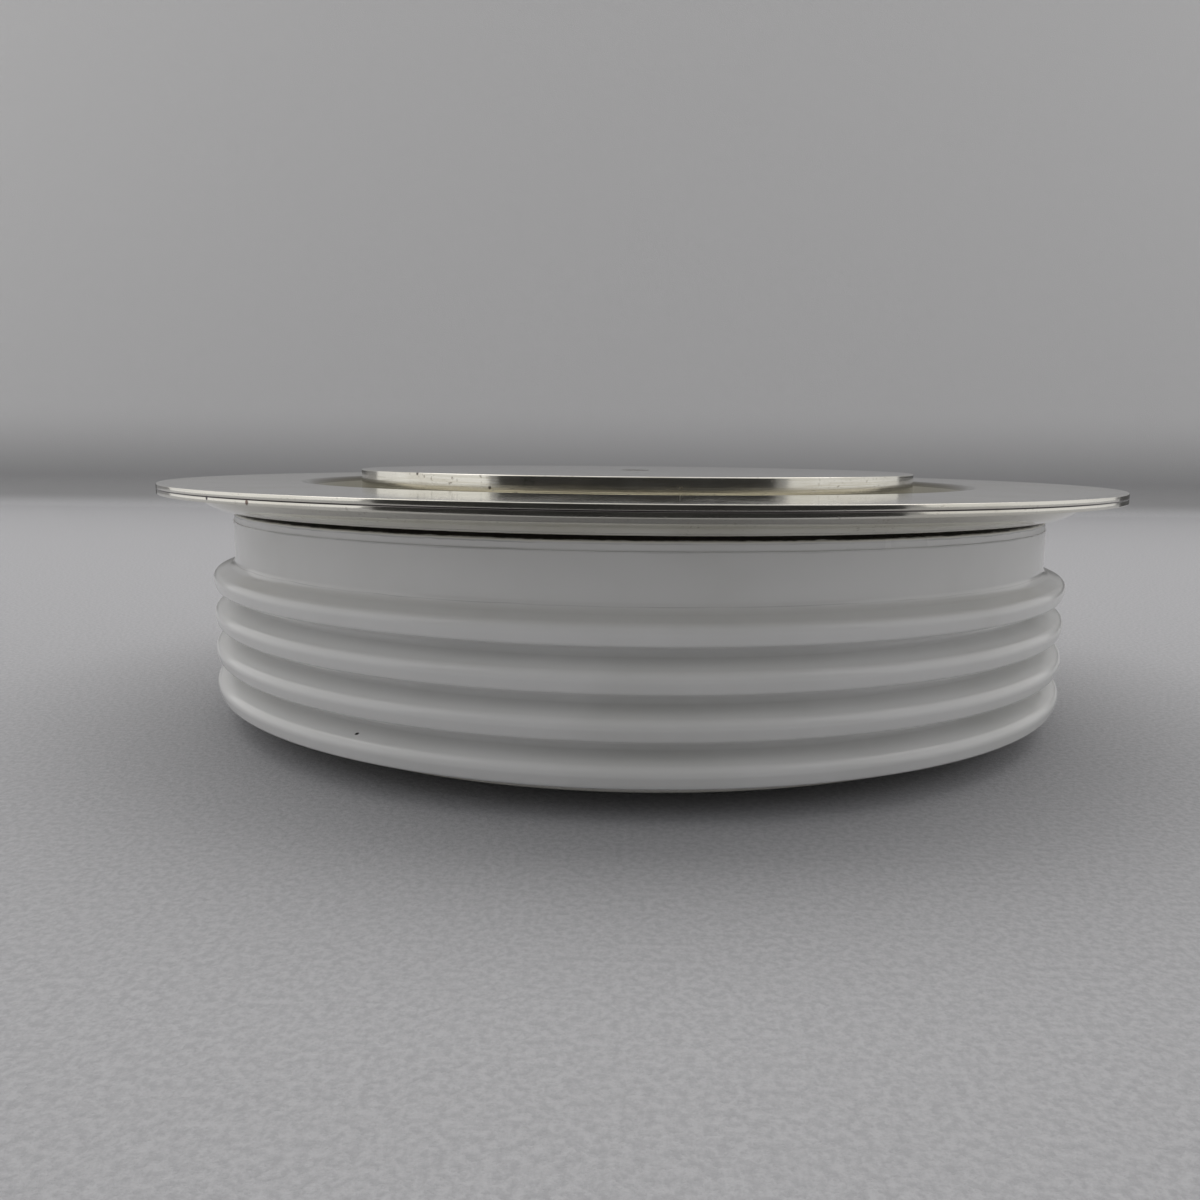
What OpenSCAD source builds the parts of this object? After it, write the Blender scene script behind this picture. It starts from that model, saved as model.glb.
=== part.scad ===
// Disc thyristor: a press-pack power semiconductor held between two heat sinks.
// The origin is the centre of the lower contact face. +Z points to the upper contact,
// and the gate terminal leaves towards +Y.

/* [Capsule] */
// Height between the two contact faces
capsule_h = 26; // [25:0.5:32]
// Diameter of each contact face
pole_d = 63; // [60:0.5:65]
// Chamfer round each contact face
pole_chamfer = 0.35; // [0.2:0.05:0.8]
// How far the brazing shoulder of each contact stands out from its side
shoulder_w = 3; // [2:0.1:3.5]
// Height of the brazing shoulder
shoulder_h = 2; // [1.4:0.1:2.2]
// How far the upper contact face stands above the rim
cathode_stand = 1.3; // [0.8:0.1:1.8]
// How far the lower contact face stands below its flange
anode_stand = 1.5; // [0.8:0.1:2]
// Diameter of the centring hole in each contact face
centre_hole_d = 3.5; // [2.5:0.1:4.5]
// Depth of the straight part of the centring hole
centre_hole_depth = 2.5; // [1.5:0.1:3]

/* [Welded rim] */
// Diameter of the rim
rim_d = 104; // [102:0.5:110]
// Thickness of each sheet
sheet_t = 0.5; // [0.4:0.05:0.6]
// Rounding of the sheets' cut edges
sheet_edge_r = 0.16; // [0.05:0.01:0.19]
// Width of the rim where the two sheets lie on each other
weld_land = 3.6; // [3:0.1:4.5]
// How far the lower sheet drops from the rim to the ceramic
dish_drop = 1.7; // [1.4:0.1:2.4]
// Slope of the dish
dish_angle = 50; // [42:1:58]
// Radius of the dish's lower bend, in the middle of the sheet
dish_bend_r = 3; // [2:0.1:3.2]
// Radius of the other bends, in the middle of the sheet
sheet_bend_r = 0.9; // [0.6:0.05:1]
// Width of the moat round the upper contact
moat_w = 5.8; // [5:0.1:7]
// Depth of the moat
moat_depth = 2; // [1.6:0.1:2.4]
// Slope of the moat's outer wall
moat_angle = 70; // [60:1:76]

/* [Ceramic ring] */
// Bore of the ring
ceramic_bore = 80; // [78:0.5:82]
// Diameter of the plain band above the ribs
band_d = 89.8; // [88:0.2:91]
// From the top of the ring down to the nose of the first rib
band_h = 6.55; // [6:0.05:7.5]
// Height of the bare strip above the glaze
strip_h = 1.25; // [1:0.05:1.6]
// Thickness of the glaze
glaze_t = 0.1; // [0.05:0.01:0.2]
// Fillet between the band and the first rib
band_fillet = 0.9; // [0.4:0.05:1.1]
// Diameter over the ribs
rib_d = 94.6; // [93.4:0.2:97]
// Number of ribs
rib_count = 4; // [3:1:4]
// Height of a rib's outer face
rib_land = 1.6; // [1.2:0.05:1.8]
// How far the outer face leans in towards its lower lip
rib_draft = 0.4; // [0.1:0.05:0.7]
// Slope of a rib's top
rib_slope = 20; // [12:1:26]
// Slope of a rib's underside
rib_under_slope = 7; // [2:1:10]
// Rounding of a rib's nose
rib_nose_r = 0.3; // [0.1:0.05:0.45]
// Rounding of a rib's lower lip
rib_lip_r = 0.4; // [0.1:0.05:0.5]
// Diameter at the bottom of the grooves
root_d = 89; // [87.5:0.1:89.5]
// Fillet at the bottom of the grooves
root_fillet = 0.45; // [0.2:0.05:0.6]
// Height of the foot below the last rib
foot_h = 0.9; // [0.7:0.05:1.4]
// Width of the metallised chamfer at both ends
braze_chamfer_w = 0.8; // [0.4:0.05:1.2]
// Height of the metallised chamfer
braze_chamfer_h = 0.5; // [0.3:0.05:0.6]

/* [Lower flange] */
// How far the flange reaches under the ceramic
flange_reach = 3.4; // [2.5:0.1:3.8]
// Flat left beside the expansion bead on each side
bead_margin = 0.9; // [0.6:0.05:1]
// Height of the expansion bead
bead_h = 1.15; // [0.9:0.05:1.4]
// Slope of the bead's sides
bead_angle = 52; // [46:1:58]
// Radius of the bead's bends, in the middle of the sheet
bead_bend_r = 0.6; // [0.4:0.05:0.65]

/* [Wafer stack] */
// Height of the lower contact's inner face above its outer one
anode_pole_h = 9.5; // [8.5:0.1:9.8]
// Diameter of the silicon wafer and its backing disc
wafer_d = 60; // [57:0.5:61]
// Thickness of the backing disc
backing_t = 2; // [1.5:0.1:2.2]
// Thickness of the wafer
wafer_t = 0.8; // [0.4:0.05:1]
// Width of the bevel at the wafer's edge
wafer_bevel = 0.5; // [0.2:0.05:0.9]
// Diameter of the upper molybdenum disc
cathode_moly_d = 55; // [52:0.5:56]
// Thickness of the upper molybdenum disc
cathode_moly_t = 1; // [0.8:0.1:1.2]
// Wall of the seal round the wafer's edge
seal_wall = 0.9; // [0.6:0.05:1]
// How far the seal stands above the wafer
seal_rise = 0.7; // [0.4:0.05:0.75]
// How far the seal's skirt reaches down over the backing disc
seal_skirt = 1.2; // [0.6:0.1:1.4]
// Wall of the locating ring
ring_wall = 2.5; // [1.5:0.1:3]
// Thickness of the locating ring's foot
ring_foot = 2.4; // [1.5:0.1:3]
// Clearance round the pieces that the locating ring holds
fit_gap = 0.2; // [0.1:0.01:0.3]

/* [Gate] */
// Diameter of the gate tube
gate_tube_d = 2.6; // [2.2:0.1:3]
// Wall of the gate tube
gate_tube_wall = 0.65; // [0.5:0.05:0.75]
// Free length of the gate tube outside its collar, to its tip
gate_tube_free = 5.6; // [4:0.1:6]
// How far the gate tube reaches into the ring
gate_tube_inside = 0.8; // [0.4:0.1:1.2]
// Diameter of the collar on the gate tube
gate_collar_d = 4.4; // [3.8:0.1:5]
// Thickness of that collar
gate_collar_t = 0.6; // [0.4:0.05:0.9]
// Height of the gate tube's axis below the top of the ring
gate_drop = 2.9; // [2.6:0.05:3.4]
// Clearance for solder at the brazed joints
braze_gap = 0.05; // [0.02:0.01:0.1]
// Diameter of the gate lead
gate_lead_d = 1; // [0.8:0.05:1.1]
// Clearance round the gate lead
lead_gap = 0.1; // [0.05:0.01:0.15]
// Wall of the sleeve over the gate lead
sleeve_wall = 0.5; // [0.3:0.05:0.6]
// Clearance round that sleeve in its slot
slot_gap = 0.2; // [0.1:0.05:0.3]
// Diameter of the bore for the gate parts
gate_bore_d = 9; // [8.4:0.1:10]
// Metal left between that bore and the centring hole
gate_web = 1.2; // [0.8:0.1:1.6]
// Clearance round the insulating cup
cup_gap = 0.1; // [0.05:0.01:0.2]
// Wall of the insulating cup
cup_wall = 1.2; // [0.9:0.05:1.4]
// Clearance between the cup's mouth and the wafer
cup_lift = 0.3; // [0.1:0.05:0.5]
// Diameter of the gate contact's head
contact_d = 4.4; // [3.6:0.1:5]
// Height of the gate contact's head
contact_h = 3.2; // [3:0.1:3.5]
// Diameter of the gate contact's stem
stem_d = 1.6; // [1.2:0.1:2]
// Length of the gate contact's stem
stem_h = 2.6; // [1.6:0.1:3]
// Thickness of the spring's washer
washer_t = 0.8; // [0.5:0.05:1]
// Diameter of the spring's wire
spring_wire_d = 0.6; // [0.4:0.05:0.7]
// Turns of the spring
spring_turns = 4; // [3:0.5:4.5]

/* [Hidden] */
$fn = 128;

nickel = [0.76, 0.75, 0.69];
glaze = [0.93, 0.93, 0.91];
silver = [0.86, 0.86, 0.85];
molybdenum = [0.5, 0.51, 0.53];
silicon = [0.27, 0.29, 0.34];
silicone = [0.78, 0.77, 0.74];
ptfe = [0.95, 0.95, 0.93];
spring_steel = [0.62, 0.62, 0.64];

// Points on the arc of each fillet and bend
arc_steps = 8;
// Sides of a drawn wire, and of the spring's wire
wire_sides = 12;
spring_sides = 8;
// Points along the lead's rise, and along one turn of the spring
rise_steps = 12;
turn_steps = 20;
// Room that a cut runs past the face it opens
over = 1;
// A drill's point is a cone of this half angle
drill_half_angle = 59;

pole_r = pole_d / 2;
rim_r = rim_d / 2;
shoulder_r = pole_r + shoulder_w;
bore_r = ceramic_bore / 2;
band_r = band_d / 2;
rib_r = rib_d / 2;
root_r = root_d / 2;
wafer_r = wafer_d / 2;

// Levels, from the top face down to the ceramic's top
rim_top = capsule_h - cathode_stand;
seam_z = rim_top - sheet_t;
rim_bottom = seam_z - sheet_t;
ceramic_top = rim_bottom - dish_drop;
moat_floor = rim_top - moat_depth;
cathode_seat = moat_floor - sheet_t;

// Levels, from the bottom face up to the ceramic's foot
ceramic_bottom = anode_stand + sheet_t;
anode_seat = ceramic_bottom;
anode_shoulder_top = anode_seat + shoulder_h;

// Levels of the wafer stack
backing_bottom = anode_pole_h;
wafer_bottom = backing_bottom + backing_t;
wafer_top = wafer_bottom + wafer_t;
cathode_bottom = wafer_top + cathode_moly_t;

// The ribs share what the band and the foot leave of the ring's height
rib_pitch = (ceramic_top - band_h - rib_land - foot_h - ceramic_bottom) / (rib_count - 1);
rib_top_rise = (rib_r - root_r) * tan(rib_slope);
rib_under_fall = (rib_r - rib_draft - root_r) * tan(rib_under_slope);
groove_h = rib_pitch - rib_land - rib_top_rise - rib_under_fall;
groove_fillet = min(root_fillet, 0.45 * groove_h);

// Radii that follow from the stack
ring_bore_r = wafer_r + seal_wall + fit_gap;
anode_boss_r = ring_bore_r - fit_gap;
cathode_moly_r = cathode_moly_d / 2;
cathode_boss_r = cathode_moly_r + fit_gap;
gate_bore_r = gate_bore_d / 2;
cup_r = gate_bore_r - cup_gap;
cup_bore_r = cup_r - cup_wall;

// Levels of the gate parts
drill_tip_h = centre_hole_d / 2 / tan(drill_half_angle);
gate_bore_top = capsule_h - centre_hole_depth - drill_tip_h - gate_web;
cup_ceiling = gate_bore_top - cup_wall;
washer_bottom = wafer_top + contact_h;
washer_top = washer_bottom + washer_t;
sleeve_r = gate_lead_d / 2 + lead_gap + sleeve_wall;
slot_z = cathode_bottom + slot_gap + sleeve_r;
slot_top = slot_z + sleeve_r + slot_gap;
slot_w = 2 * (sleeve_r + slot_gap);
gate_z = ceramic_top - gate_drop;

// Places along the lead, measured out from the axis
lead_start = contact_d / 4;
rise_start = cathode_boss_r + over;
gate_tube_start = bore_r - gate_tube_inside;
rise_end = gate_tube_start - over;
collar_end = band_r + gate_collar_t;
gate_tip = collar_end + gate_tube_free;
lead_end = gate_tip - gate_tube_d / 2;

// The spring's mean radius leaves the same gap to the cup and to the stem
spring_r = (cup_bore_r + stem_d / 2) / 2;
spring_h = cup_ceiling - washer_top;

function unit(v) = v / norm(v);
function left_of(v) = [-v[1], v[0]];
function flat(p) = [p[0], p[1]];

// The fillet of one corner [x, y, radius] between its neighbours, as points
function fillet_points(before, corner, after) =
    let (
        p = flat(corner),
        a = unit(flat(before) - p),
        b = unit(flat(after) - p),
        half = acos(a * b) / 2,
        r = corner[2],
        centre = p + unit(a + b) * r / sin(half),
        start = p + a * r / tan(half) - centre,
        end = p + b * r / tan(half) - centre,
        first = atan2(start[1], start[0]),
        turn = (atan2(end[1], end[0]) - first + 540) % 360 - 180
    )
    [for (k = [0:arc_steps])
        let (angle = first + turn * k / arc_steps)
        centre + r * [cos(angle), sin(angle)]];

// An outline whose corners [x, y, radius] are rounded, as points
function rounded(corners) =
    let (n = len(corners))
    [for (i = [0:n - 1])
        each corners[i][2] > 0
            ? fillet_points(corners[(i + n - 1) % n], corners[i], corners[(i + 1) % n])
            : [flat(corners[i])]];

// One face of a bent sheet, at a distance to the left of the corners [x, y, bend radius] of its middle line
function sheet_face(path, distance) =
    [for (i = [0:len(path) - 1])
        let (
            p = flat(path[i]),
            arrive = i == 0 ? unit(flat(path[1]) - p) : unit(p - flat(path[i - 1])),
            leave = i == len(path) - 1 ? arrive : unit(flat(path[i + 1]) - p),
            n = left_of(arrive),
            m = left_of(leave),
            is_end = i == 0 || i == len(path) - 1,
            bend = sign(arrive[0] * leave[1] - arrive[1] * leave[0]),
            q = p + distance * (n + m) / (1 + n * m)
        )
        [q[0], q[1], is_end ? sheet_edge_r : path[i][2] - distance * bend]];

// The whole section of a bent sheet, as corners
function sheet_section(path) =
    let (under = sheet_face(path, -sheet_t / 2), upper = sheet_face(path, sheet_t / 2))
    concat(under, [for (i = [len(upper) - 1:-1:0]) upper[i]]);

// A ring of points round a wire at one place of its route [point, direction, side]
function wire_ring(place, r, sides) =
    let (
        across = unit(cross(place[1], place[2])),
        out = cross(across, unit(place[1]))
    )
    [for (k = [0:sides - 1]) place[0] + r * (out * cos(360 * k / sides) + across * sin(360 * k / sides))];

// The faces between two layers of rings that run side by side
function wall_faces(rings, sides, first) =
    [for (i = [0:rings - 2]) for (k = [0:sides - 1])
        let (j = (k + 1) % sides, low = first + i * sides, high = low + sides)
        [low + k, high + k, high + j, low + j]];

function reversed(list) = [for (i = [len(list) - 1:-1:0]) list[i]];

// A solid of revolution from rounded corners
module turned(corners) {
    rotate_extrude()
        polygon(rounded(corners));
}

// A round wire along a route
module wire(route, r, sides) {
    rings = len(route);
    last = (rings - 1) * sides;
    points = [for (place = route) each wire_ring(place, r, sides)];
    start_cap = [[for (k = [0:sides - 1]) k]];
    end_cap = [[for (k = [sides - 1:-1:0]) last + k]];
    polyhedron(points, concat(wall_faces(rings, sides, 0), start_cap, end_cap));
}

// A round tube along a route
module tube(route, r, bore, sides) {
    rings = len(route);
    inner = rings * sides;
    last = (rings - 1) * sides;
    points = concat(
        [for (place = route) each wire_ring(place, r, sides)],
        [for (place = route) each wire_ring(place, bore, sides)]);
    inside = [for (face = wall_faces(rings, sides, inner)) reversed(face)];
    start_cap = [for (k = [0:sides - 1]) let (j = (k + 1) % sides) [k, j, inner + j, inner + k]];
    end_cap = [for (face = start_cap) [for (v = reversed(face)) v + last]];
    polyhedron(points, concat(wall_faces(rings, sides, 0), inside, start_cap, end_cap));
}

// One place of the lead's route, at a distance from the axis
function lead_place(y) =
    let (
        share = max(0, min(1, (y - rise_start) / (rise_end - rise_start))),
        rise = gate_z - slot_z,
        slope = rise * 90 * sin(180 * share) * PI / 180 / (rise_end - rise_start)
    )
    [[0, y, slot_z + rise * (1 - cos(180 * share)) / 2], [0, 1, slope], [1, 0, 0]];

// The lead's route between two distances from the axis
function lead_route(from, to) =
    concat(
        [lead_place(from)],
        [for (k = [0:rise_steps]) lead_place(rise_start + (rise_end - rise_start) * k / rise_steps)],
        [lead_place(to)]);

// A blind centring hole that opens upwards at the origin
module centring_hole() {
    translate([0, 0, -centre_hole_depth])
        cylinder(d = centre_hole_d, h = centre_hole_depth + over);
    translate([0, 0, -centre_hole_depth - drill_tip_h])
        cylinder(d1 = 0, d2 = centre_hole_d, h = drill_tip_h);
}

// A straight hole or pin that runs out towards the gate's side
module towards_gate(z, y) {
    translate([0, y, z])
        rotate([-90, 0, 0])
            children();
}

// Lower contact: turned copper block, nickel-plated
module anode_pole() {
    color(nickel)
        difference() {
            turned([
                [0, 0, 0],
                [pole_r - pole_chamfer, 0, 0],
                [pole_r, pole_chamfer, 0],
                [pole_r, anode_seat, 0],
                [shoulder_r, anode_seat, 0],
                [shoulder_r, anode_shoulder_top, 0],
                [anode_boss_r, anode_shoulder_top, 0],
                [anode_boss_r, anode_pole_h, 0],
                [0, anode_pole_h, 0]]);
            rotate([180, 0, 0])
                centring_hole();
        }
}

// Lower flange: pressed ring with one expansion bead, brazed to the contact and the ceramic
module anode_flange() {
    middle = ceramic_bottom - sheet_t / 2;
    bead_run = bead_h / tan(bead_angle);
    bead_in = shoulder_r + bead_margin;
    bead_out = bore_r - bead_margin;
    color(nickel)
        turned(sheet_section([
            [pole_r + braze_gap, middle, 0],
            [bead_in, middle, bead_bend_r],
            [bead_in + bead_run, middle + bead_h, bead_bend_r],
            [bead_out - bead_run, middle + bead_h, bead_bend_r],
            [bead_out, middle, bead_bend_r],
            [bore_r + flange_reach, middle, 0]]));
}

// The four corners of one rib, from the groove below it to the groove above it
function rib_corners(nose, above_r, above_fillet) = [
    [root_r, nose - rib_land - rib_under_fall, groove_fillet],
    [rib_r - rib_draft, nose - rib_land, rib_lip_r],
    [rib_r, nose, rib_nose_r],
    [above_r, nose + (rib_r - above_r) * tan(rib_slope), above_fillet]];

// Insulator: pressed and glazed alumina, bare and metallised at both ends
module ceramic_ring() {
    strip_r = band_r - glaze_t;
    strip_bottom = ceramic_top - strip_h;
    first_nose = ceramic_top - band_h;
    lower_ribs = [for (i = [rib_count - 1:-1:1])
        each rib_corners(first_nose - i * rib_pitch, root_r, groove_fillet)];
    color(glaze)
        difference() {
            turned(concat(
                [[bore_r, ceramic_bottom, 0],
                    [root_r - braze_chamfer_w, ceramic_bottom, 0],
                    [root_r, ceramic_bottom + braze_chamfer_h, 0]],
                lower_ribs,
                rib_corners(first_nose, band_r, band_fillet),
                [[band_r, strip_bottom, 0],
                    [strip_r, strip_bottom, 0],
                    [strip_r, ceramic_top - braze_chamfer_h, 0],
                    [strip_r - braze_chamfer_w, ceramic_top, 0],
                    [bore_r, ceramic_top, 0]]));
            towards_gate(gate_z, bore_r - over)
                cylinder(d = gate_tube_d + 2 * braze_gap, h = band_r - bore_r + 2 * over);
        }
}

// Lower sheet of the rim: dished, brazed on the ceramic, welded to the cover at its edge
module weld_ring() {
    rim_bend = rim_r - weld_land;
    dish_bend = rim_bend - dish_drop / tan(dish_angle);
    color(nickel)
        turned(sheet_section([
            [bore_r + braze_chamfer_w, ceramic_top + sheet_t / 2, 0],
            [dish_bend, ceramic_top + sheet_t / 2, dish_bend_r],
            [rim_bend, seam_z - sheet_t / 2, sheet_bend_r],
            [rim_r, seam_z - sheet_t / 2, 0]]));
}

// Upper sheet of the rim: flat annulus and moat, brazed on the upper contact's shoulder
module cover_diaphragm() {
    crest = pole_r + moat_w;
    color(nickel)
        turned(sheet_section([
            [pole_r + braze_gap, moat_floor - sheet_t / 2, 0],
            [crest - moat_depth / tan(moat_angle), moat_floor - sheet_t / 2, sheet_bend_r],
            [crest, rim_top - sheet_t / 2, sheet_bend_r],
            [rim_r, rim_top - sheet_t / 2, 0]]));
}

// Upper contact: turned copper block, with the bore and slot of the gate parts in its inner face
module cathode_pole() {
    color(nickel)
        difference() {
            turned([
                [0, cathode_bottom, 0],
                [cathode_boss_r, cathode_bottom, 0],
                [cathode_boss_r, cathode_seat - shoulder_h, 0],
                [shoulder_r, cathode_seat - shoulder_h, 0],
                [shoulder_r, cathode_seat, 0],
                [pole_r, cathode_seat, 0],
                [pole_r, capsule_h - pole_chamfer, 0],
                [pole_r - pole_chamfer, capsule_h, 0],
                [0, capsule_h, 0]]);
            translate([0, 0, cathode_bottom - over])
                cylinder(r = gate_bore_r, h = gate_bore_top - cathode_bottom + over);
            translate([-slot_w / 2, 0, cathode_bottom - over])
                cube([slot_w, cathode_boss_r + over, slot_top - cathode_bottom + over]);
            translate([0, 0, capsule_h])
                centring_hole();
        }
}

// Molybdenum disc that backs the wafer
module anode_moly_disc() {
    color(molybdenum)
        translate([0, 0, backing_bottom])
            cylinder(r = wafer_r, h = backing_t);
}

// Thyristor wafer, ground to a bevel at its edge
module silicon_wafer() {
    color(silicon)
        turned([
            [0, wafer_bottom, 0],
            [wafer_r, wafer_bottom, 0],
            [wafer_r - wafer_bevel, wafer_top, 0],
            [0, wafer_top, 0]]);
}

// Silicone rubber moulded round the wafer's edge
module edge_seal() {
    outer_r = wafer_r + seal_wall;
    color(silicone)
        turned([
            [wafer_r + braze_gap, wafer_bottom - seal_skirt, 0],
            [outer_r, wafer_bottom - seal_skirt, 0],
            [outer_r, wafer_top + seal_rise, seal_wall / 2],
            [cathode_boss_r, wafer_top + seal_rise, 0],
            [cathode_boss_r, wafer_top, 0],
            [wafer_r + braze_gap, wafer_top, 0]]);
}

// Molybdenum disc under the upper contact, open at its centre for the gate
module cathode_moly_disc() {
    color(molybdenum)
        translate([0, 0, wafer_top])
            difference() {
                cylinder(r = cathode_moly_r, h = cathode_moly_t);
                translate([0, 0, -over])
                    cylinder(r = gate_bore_r, h = cathode_moly_t + 2 * over);
            }
}

// PTFE ring that stands on the lower contact's shoulder and centres the stack in the ceramic
module locating_ring() {
    ring_top = wafer_top + seal_rise;
    color(ptfe)
        turned([
            [ring_bore_r, anode_shoulder_top, 0],
            [bore_r - fit_gap, anode_shoulder_top, 0],
            [bore_r - fit_gap, anode_shoulder_top + ring_foot, 0],
            [ring_bore_r + ring_wall, anode_shoulder_top + ring_foot, 0],
            [ring_bore_r + ring_wall, ring_top, 0],
            [ring_bore_r, ring_top, 0]]);
}

// PTFE cup, notched for the lead, that keeps the gate parts off the upper contact
module gate_cup() {
    mouth = wafer_top + cup_lift;
    notch_w = gate_lead_d + 2 * lead_gap;
    color(ptfe)
        difference() {
            translate([0, 0, mouth])
                cylinder(r = cup_r, h = gate_bore_top - mouth);
            translate([0, 0, mouth - over])
                cylinder(r = cup_bore_r, h = cup_ceiling - mouth + over);
            translate([-notch_w / 2, 0, mouth - over])
                cube([notch_w, cup_r + over, slot_z + notch_w / 2 - mouth + over]);
        }
}

// Coil spring, closed at both ends, between the cup's ceiling and the washer
module gate_spring() {
    steps = spring_turns * turn_steps;
    wire_r = spring_wire_d / 2;
    climb = (spring_h - spring_wire_d) / spring_turns / 360;
    lean = climb * 180 / PI;
    route = [for (k = [0:steps])
        let (
            a = 360 * k / turn_steps,
            side = [cos(a), sin(a), 0],
            point = spring_r * side + [0, 0, washer_top + wire_r + climb * a]
        )
        [point, [-spring_r * side[1], spring_r * side[0], lean], side]];
    color(spring_steel)
        wire(route, wire_r, spring_sides);
}

// Washer that spreads the spring's force on the gate contact
module gate_washer() {
    color(spring_steel)
        translate([0, 0, washer_bottom])
            difference() {
                cylinder(r = cup_bore_r - cup_gap, h = washer_t);
                translate([0, 0, -over])
                    cylinder(r = stem_d / 2 + cup_gap, h = washer_t + 2 * over);
            }
}

// Gate contact: silver-plated button on the wafer's centre, with a stem inside the spring
module gate_contact() {
    color(silver)
        difference() {
            turned([
                [0, wafer_top, 0],
                [contact_d / 2, wafer_top, 0],
                [contact_d / 2, washer_bottom, 0],
                [stem_d / 2, washer_bottom, 0],
                [stem_d / 2, washer_bottom + stem_h, stem_d / 4],
                [0, washer_bottom + stem_h, 0]]);
            towards_gate(slot_z, lead_start)
                cylinder(d = gate_lead_d + 2 * braze_gap, h = contact_d);
        }
}

// Wire from the gate contact to the tip of the gate tube
module gate_lead() {
    color(silver)
        wire(lead_route(lead_start, lead_end), gate_lead_d / 2, wire_sides);
}

// PTFE sleeve over the wire, from the cup to the gate tube
module gate_sleeve() {
    color(ptfe)
        tube(lead_route(cup_r + cup_gap, gate_tube_start), sleeve_r, gate_lead_d / 2 + lead_gap, wire_sides);
}

// Gate terminal: tube brazed through the ceramic, closed at its outer end
module gate_tube() {
    tube_r = gate_tube_d / 2;
    collar_start = band_r - gate_tube_start;
    tip = gate_tip - gate_tube_start;
    color(nickel)
        towards_gate(gate_z, gate_tube_start)
            turned([
                [tube_r - gate_tube_wall, 0, 0],
                [tube_r, 0, 0],
                [tube_r, collar_start, 0],
                [gate_collar_d / 2, collar_start, 0],
                [gate_collar_d / 2, collar_start + gate_collar_t, 0],
                [tube_r, collar_start + gate_collar_t, 0],
                [tube_r, tip, gate_tube_wall],
                [0, tip, 0],
                [0, lead_end - gate_tube_start, 0],
                [tube_r - gate_tube_wall, lead_end - gate_tube_start, 0]]);
}

anode_pole();
anode_flange();
ceramic_ring();
weld_ring();
cover_diaphragm();
cathode_pole();
anode_moly_disc();
silicon_wafer();
edge_seal();
cathode_moly_disc();
locating_ring();
gate_cup();
gate_spring();
gate_washer();
gate_contact();
gate_lead();
gate_sleeve();
gate_tube();
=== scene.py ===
import math

import bmesh
import bpy
from mathutils import Matrix, Vector


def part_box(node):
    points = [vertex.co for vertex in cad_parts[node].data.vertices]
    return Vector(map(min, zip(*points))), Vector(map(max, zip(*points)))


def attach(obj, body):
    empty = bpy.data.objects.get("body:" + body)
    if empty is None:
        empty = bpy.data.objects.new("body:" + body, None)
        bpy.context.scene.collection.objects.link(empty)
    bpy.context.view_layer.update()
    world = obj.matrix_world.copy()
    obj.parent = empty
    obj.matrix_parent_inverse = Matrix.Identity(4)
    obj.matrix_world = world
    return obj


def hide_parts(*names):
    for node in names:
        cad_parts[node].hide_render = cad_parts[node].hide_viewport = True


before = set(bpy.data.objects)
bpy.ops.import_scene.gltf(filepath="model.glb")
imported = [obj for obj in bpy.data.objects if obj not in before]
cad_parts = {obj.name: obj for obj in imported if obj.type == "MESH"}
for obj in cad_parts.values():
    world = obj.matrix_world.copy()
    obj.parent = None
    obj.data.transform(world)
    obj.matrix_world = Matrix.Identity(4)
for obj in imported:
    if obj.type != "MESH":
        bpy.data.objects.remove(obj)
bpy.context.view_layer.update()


# Lower contact
# A turned copper block, nickel-plated all over, on which the capsule stands.
# Its lower face is lapped flat, with a drilled hole in the middle for a centring pin.
MM = 0.001


def add_node(tree, kind, inputs=None, **settings):
    made = tree.nodes.new(kind)
    for name, value in settings.items():
        setattr(made, name, value)
    for name, value in (inputs or {}).items():
        if isinstance(value, bpy.types.NodeSocket):
            tree.links.new(value, made.inputs[name])
        else:
            made.inputs[name].default_value = value
    return made


def sum_of(tree, first, second):
    return add_node(tree, "ShaderNodeMath", {0: first, 1: second}, operation="ADD").outputs[0]


def product_of(tree, first, second):
    return add_node(tree, "ShaderNodeMath", {0: first, 1: second}, operation="MULTIPLY").outputs[0]


def vector_step(tree, operation, *vectors):
    """The outputs of one step of arithmetic with places."""
    return add_node(tree, "ShaderNodeVectorMath", dict(enumerate(vectors)), operation=operation).outputs


def place_on_object(tree):
    return add_node(tree, "ShaderNodeTexCoord").outputs["Object"]


def height_of(tree, place):
    return add_node(tree, "ShaderNodeSeparateXYZ", {0: place}).outputs["Z"]


def radius_of(tree, place):
    """The distance of a place from the capsule's axis."""
    flat = vector_step(tree, "MULTIPLY", place, (1.0, 1.0, 0.0))[0]
    return vector_step(tree, "LENGTH", flat)["Value"]


def grain(tree, place, size, detail=3.0, roughness=0.55):
    """Noise from 0 to 1 whose blotches are about this size, in metres."""
    inputs = {"Vector": place, "Scale": 1 / size, "Detail": detail, "Roughness": roughness}
    return add_node(tree, "ShaderNodeTexNoise", inputs).outputs["Fac"]


def fade(tree, value, start, end, low=0.0, high=1.0):
    """A smooth change from low to high while the value goes from start to end."""
    inputs = {"Value": value, "From Min": start, "From Max": end, "To Min": low, "To Max": high}
    settings = {"interpolation_type": "SMOOTHSTEP"}
    return add_node(tree, "ShaderNodeMapRange", inputs, **settings).outputs["Result"]


def blend_colours(tree, share, under, over):
    made = add_node(tree, "ShaderNodeMix", data_type="RGBA")
    for name, value in (("Factor_Float", share), ("A_Color", under), ("B_Color", over)):
        socket = next(s for s in made.inputs if s.identifier == name)
        if isinstance(value, bpy.types.NodeSocket):
            tree.links.new(value, socket)
        else:
            socket.default_value = value if name == "Factor_Float" else (*value, 1.0)
    return next(s for s in made.outputs if s.identifier == "Result_Color")


def new_finish(name):
    """A new finish, with its nodes, its shader and the place on the object."""
    finish = bpy.data.materials.new(name)
    finish.use_nodes = True
    tree = finish.node_tree
    return finish, tree, tree.nodes["Principled BSDF"], place_on_object(tree)


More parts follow.
